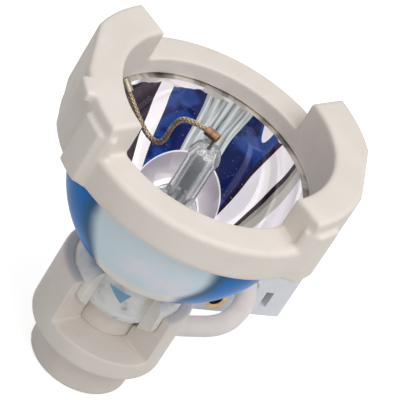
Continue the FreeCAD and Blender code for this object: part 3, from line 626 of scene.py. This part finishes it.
def makeBowl():
    neckInner = bowl["neckRadius"] - bowl["neckWall"]
    drop = math.sqrt(1 - (neckInner / bowl["mirrorRadius"]) ** 2)
    lowInner = bowl["mirrorMiddle"] - bowl["mirrorHalf"] * drop
    inner = [(ellipseAt(bowl["mirrorRadius"], bowl["mirrorHalf"], bowl["mirrorMiddle"], z), z)
             for z in heights(lowInner, bowl["rim"], bowl["steps"], bowl["mirrorMiddle"], bowl["mirrorHalf"])]
    outer = [(ellipseAt(bowl["outerRadius"], bowl["outerHalf"], bowl["outerMiddle"], z), z)
             for z in heights(bowl["shoulder"], bowl["outerMiddle"], bowl["steps"],
                              bowl["outerMiddle"], bowl["outerHalf"])]
    profile = [(neckInner, bowl["neckEnd"])] + inner
    profile += [(bowl["outerRadius"], bowl["rim"])] + outer[::-1]
    profile += [(bowl["neckRadius"], bowl["shoulder"]), (bowl["neckRadius"], bowl["neckEnd"])]
    mesh = spunShell("bowlMesh", profile, bowl["turns"])
    smoothByAngle(mesh, angle=40)
    piece = addPiece("reflector_glass", mesh, "bowl_glass", "reflector")
    for name in ("mirror", "rim", "neck"):
        mesh.materials.append(looks[name])
    mirrorFace, rimFace, neckFace = 1, 2, 3
    for face in mesh.polygons:
        middle = face.center
        inside = face.normal.dot(Vector((middle.x, middle.y, 0))) < 0
        if middle.z > bowl["rim"] - 0.01 * mm:
            face.material_index = rimFace
        elif middle.z < bowl["shoulder"] - 0.01 * mm:
            face.material_index = neckFace
        elif inside and middle.z > lowInner:
            face.material_index = mirrorFace
    return piece


makeBowl()
print("bowl")


burner = {
    "foot": 14.2 * mm, "tip": 60.4 * mm, "taper": 2.2 * mm, "tipRadius": 2.3 * mm,
    "radius": 3.05 * mm, "bore": 1.35 * mm, "pinBore": 0.45 * mm, "arc": 41.5 * mm,
    "bulb": (5.6 * mm, 6.8 * mm), "chamber": (4.0 * mm, 5.0 * mm),
    # the bead at the tip: mm out from the shaft, and mm up from the bore's end
    "bead": [(0.0, -1.2), (0.25, -0.4), (0.1, 0.5), (-0.3, 1.3)],
    "tipEdge": 0.2 * mm, "tipRound": 0.5 * mm, "tipDish": 0.3 * mm,
    "crinkle": 0.75 * mm, "crinkleScale": 900.0, "crinkleFrom": 0.8 * mm, "crinkleGrows": 1.2 * mm,
    "turns": 96,
}


def ovalSteps(radius, half, middle, out, count, upward=True):
    # Points of an upright oval between the two places where it is "out" from the axis.
    reach = math.acos(out / radius)
    spots = [-reach + 2 * reach * n / count for n in range(count + 1)]
    points = [(radius * math.cos(spot), middle + half * math.sin(spot)) for spot in spots]
    return points if upward else points[::-1]


def makeBurner():
    top = burner["tip"] - burner["taper"]
    seal = burner["foot"] + burner["taper"]
    profile = [(burner["pinBore"], burner["foot"]), (burner["radius"], burner["foot"])]
    profile += ovalSteps(*burner["bulb"], burner["arc"], burner["radius"], 24)
    profile += [(burner["radius"] + out * mm, top + up * mm) for out, up in burner["bead"]]
    profile += [(burner["tipRadius"], burner["tip"] - burner["tipEdge"]),
                (burner["tipRadius"] - burner["tipRound"], burner["tip"]),
                (burner["pinBore"], burner["tip"] - burner["tipDish"]),
                (burner["pinBore"], top), (burner["bore"], top)]
    profile += ovalSteps(*burner["chamber"], burner["arc"], burner["bore"], 20, upward=False)
    profile += [(burner["bore"], seal), (burner["pinBore"], seal)]
    mesh = spunShell("burnerMesh", profile, burner["turns"])
    for vertex in mesh.vertices:
        rise = (vertex.co.z - top + burner["crinkleFrom"]) / burner["crinkleGrows"]
        if rise > 0 and vertex.co.xy.length > burner["bore"]:
            push = noise.noise(vertex.co * burner["crinkleScale"]) * min(rise, 1.0) * burner["crinkle"]
            vertex.co += vertex.co.normalized() * push
    smoothByAngle(mesh, angle=40)
    return addPiece("burner_quartz", mesh, "quartz", "burner_tube")


makeBurner()
print("burner")


cement = {
    "half": 50.0,  # degrees to each side of a fill's middle
    # mm out from the axis, and mm up it
    "neck": 8.5, "bottom": 18.14, "cup": 11.8, "cupSteps": [20.6, 22.7, 24.8],
    "crown": [(11.5, 25.7), (10.9, 26.4), (10.0, 27.0), (9.2, 27.3)], "neckSteps": [27.3, 24.0, 21.0],
    "steps": 48,
    # waves of the free faces: above this height, and within these degrees of a fill's end
    "wave": 0.45 * mm, "coarse": 420.0, "fine": 1100.0,
    "waveFrom": 24.9 * mm, "waveEnds": 4.0, "heldAtNeck": 0.4 * mm,
}


def makeCement():
    # Two fills between the neck and the cup, with wavy tops and ends.
    profile = [(cement["neck"], cement["bottom"])] + [(cement["cup"], up) for up in cement["cupSteps"]]
    profile += cement["crown"] + [(cement["neck"], up) for up in cement["neckSteps"]]
    profile = [(out * mm, up * mm) for out, up in profile]
    whole = bmesh.new()
    for side in (0.0, math.pi):
        start = side - math.radians(cement["half"])
        mesh = spunShell("fill", profile, cement["steps"], math.radians(2 * cement["half"]), start)
        whole.from_mesh(mesh)
        bpy.data.meshes.remove(mesh)
    bmesh.ops.triangulate(whole, faces=[face for face in whole.faces if len(face.verts) > 4])
    bmesh.ops.subdivide_edges(whole, edges=whole.edges, cuts=1, use_grid_fill=True)
    for vertex in whole.verts:
        spot = vertex.co
        free = Vector((spot.x, spot.y, 0)).length > cement["neck"] * mm + cement["heldAtNeck"]
        fromEnd = abs(abs(math.degrees(math.atan2(spot.y, abs(spot.x)))) - cement["half"])
        atTop = spot.z > cement["waveFrom"]
        if free and (atTop or fromEnd < cement["waveEnds"]):
            push = noise.noise(spot * cement["coarse"]) + 0.5 * noise.noise(spot * cement["fine"])
            around = Vector((-spot.y, spot.x, 0)).normalized() * (1 if spot.y * spot.x > 0 else -1)
            vertex.co += (Vector((0, 0, 1)) if atTop else around) * (push * cement["wave"])
    mesh = bpy.data.meshes.new("cementMesh")
    whole.to_mesh(mesh)
    whole.free()
    smoothByAngle(mesh, angle=60)
    return addPiece("cement_fill", mesh, "cement", "neck_cement")


makeCement()
print("cement")


def curveAlong(name, route, radius):
    curve = bpy.data.curves.new(name, "CURVE")
    curve.dimensions = "3D"
    curve.resolution_u = 24
    curve.bevel_depth = radius
    curve.bevel_resolution = 8
    curve.use_fill_caps = True
    spline = curve.splines.new("NURBS")
    spline.points.add(len(route) - 1)
    for point, spot in zip(spline.points, route):
        point.co = (*(value * mm for value in spot), 1.0)
    spline.order_u = 3
    spline.use_endpoint_u = True
    spline.use_smooth = True
    return curve


def readRoute(curve):
    # Places along the middle of a curve.
    bare = curve.copy()
    bare.bevel_depth = 0
    holder = bpy.data.objects.new("ruler", bare)
    mesh = bpy.data.meshes.new_from_object(holder)
    spots = [vertex.co.copy() for vertex in mesh.vertices]
    bpy.data.objects.remove(holder)
    bpy.data.meshes.remove(mesh)
    return spots


lead = {
    "diameter": 4.4 * mm,
    "route": [(5.573, 2.938, 11.0), (19.6, 10.33, 11.0), (25.2, 14.6, 11.0), (28.3, 21.0, 10.9),
              (29.4, 27.3, 10.7), (28.9, 33.0, 10.6)],
}


def makeLead():
    curve = curveAlong("leadCurve", lead["route"], lead["diameter"] / 2)
    piece = addPiece("lead_sleeve", curve, "insulation", "supply_lead")
    spots = readRoute(curve)
    return piece


makeLead()
print("supply lead")


braid = {
    "angle": 154.5, "rim": 57.8,
    # mm out from the axis, and mm up from the rim
    "route": [(20.3, 1.2), (15.4, -2.6), (11.0, -5.1), (8.2, -4.0), (8.5, 0.8), (7.2, 4.5), (2.3, 5.2)],
    "strands": 4, "helix": 0.42 * mm, "wire": 0.14 * mm, "pitch": 3.4 * mm, "core": 0.30 * mm,
}


def tubeMesh(name, lines, radius):
    curve = bpy.data.curves.new(name, "CURVE")
    curve.dimensions = "3D"
    curve.bevel_depth = radius
    curve.bevel_resolution = 2
    curve.use_fill_caps = True
    for line in lines:
        spline = curve.splines.new("POLY")
        spline.points.add(len(line) - 1)
        for point, place in zip(spline.points, line):
            point.co = (*place, 1.0)
        spline.use_smooth = True
    holder = bpy.data.objects.new(name, curve)
    mesh = bpy.data.meshes.new_from_object(holder)
    bpy.data.objects.remove(holder)
    return mesh


def strandLine(spots, side, way, strand):
    # One strand's places: a helix round the braid's middle, to the left or to the right.
    line = []
    gone = 0.0
    for number, spot in enumerate(spots):
        before = spots[max(number - 1, 0)]
        after = spots[min(number + 1, len(spots) - 1)]
        up = (after - before).normalized().cross(side).normalized()
        gone += (spot - before).length
        phase = 2 * math.pi * way * (gone / braid["pitch"] + strand / braid["strands"])
        line.append(spot + (side * math.cos(phase) + up * math.sin(phase)) * braid["helix"])
    return line


def makeBraid():
    # Strands that cross each other round a core, whose near-black tone is painted shade in the gaps between
    # them.
    turn = math.radians(braid["angle"])
    route = [(out * math.cos(turn), out * math.sin(turn), braid["rim"] + up) for out, up in braid["route"]]
    spots = readRoute(curveAlong("braidLine", route, 0.0))
    side = Vector((-math.sin(turn), math.cos(turn), 0))
    lines = [strandLine(spots, side, way, strand) for way in (1, -1) for strand in range(braid["strands"])]
    shape = bmesh.new()
    shape.from_mesh(tubeMesh("braidWires", lines, braid["wire"]))
    wires = len(shape.faces)
    shape.from_mesh(tubeMesh("braidHeart", [spots], braid["core"]))
    shape.faces.ensure_lookup_table()
    for face in shape.faces[wires:]:
        face.material_index = 1
    mesh = bpy.data.meshes.new("braidMesh")
    shape.to_mesh(mesh)
    shape.free()
    smoothByAngle(mesh, angle=60)
    piece = addPiece("braid_strands", mesh, "braid", "braided_lead")
    mesh.materials.append(looks["braidCoreShade"])
    return piece


makeBraid()
print("braided lead")


# Light and floor

lights = {
    "key": {"place": (0.14, -0.20, 0.56), "size": 0.5, "power": 2.35},
    "fill": {"place": (0.05, -0.55, 0.16), "size": 0.5, "power": 0.3},
    "target": (0, 0, 0.045),
    "world": 0.46,
    "floorTone": (0.55, 0.55, 0.55), "floorGlow": 0.75, "floorHalf": 3.0,
}


def addLight(name, spec):
    data = bpy.data.lights.new(name, "AREA")
    data.shape = "SQUARE"
    data.size = spec["size"]
    data.energy = spec["power"]
    lamp = bpy.data.objects.new(name, data)
    lamp.location = spec["place"]
    lamp.rotation_euler = (Vector(lights["target"]) - lamp.location).to_track_quat("-Z", "Y").to_euler()
    bpy.context.scene.collection.objects.link(lamp)


def seenOn(tree):
    # 1 where the paper is looked at, also in a reflection or through glass, and 0 where it only lights.
    path = addNode(tree, "ShaderNodeLightPath")
    seen = mathOn(tree, "MAXIMUM", path.outputs["Is Camera Ray"], path.outputs["Is Glossy Ray"])
    return mathOn(tree, "MAXIMUM", seen, path.outputs["Is Transmission Ray"])


def addFloor():
    shape = bmesh.new()
    bmesh.ops.create_grid(shape, x_segments=1, y_segments=1, size=lights["floorHalf"])
    mesh = bpy.data.meshes.new("floor")
    shape.to_mesh(mesh)
    shape.free()
    floor = bpy.data.objects.new("floor", mesh)
    bpy.context.scene.collection.objects.link(floor)
    material, tree, shader, _ = newMaterial(
        "floorPaper", Roughness=0.9, Base_Color=lights["floorTone"], Emission_Color=(1.0, 1.0, 1.0))
    feed(tree, shader.inputs["Emission Strength"], timesOn(tree, seenOn(tree), lights["floorGlow"]))
    mesh.materials.append(material)


def setWorld():
    world = bpy.data.worlds.new("studio")
    bpy.context.scene.world = world
    world.use_nodes = True
    tree = world.node_tree
    back = tree.nodes["Background"]
    feed(tree, back.inputs["Color"], (1.0, 1.0, 1.0))
    strength = rangeOn(tree, seenOn(tree), 0.0, 1.0, lights["world"], 1.0, smooth=False)
    feed(tree, back.inputs["Strength"], strength)


addLight("keyLight", lights["key"])
addLight("fillLight", lights["fill"])
addFloor()
setWorld()
bpy.context.scene.view_settings.view_transform = "Standard"
print("light and floor")
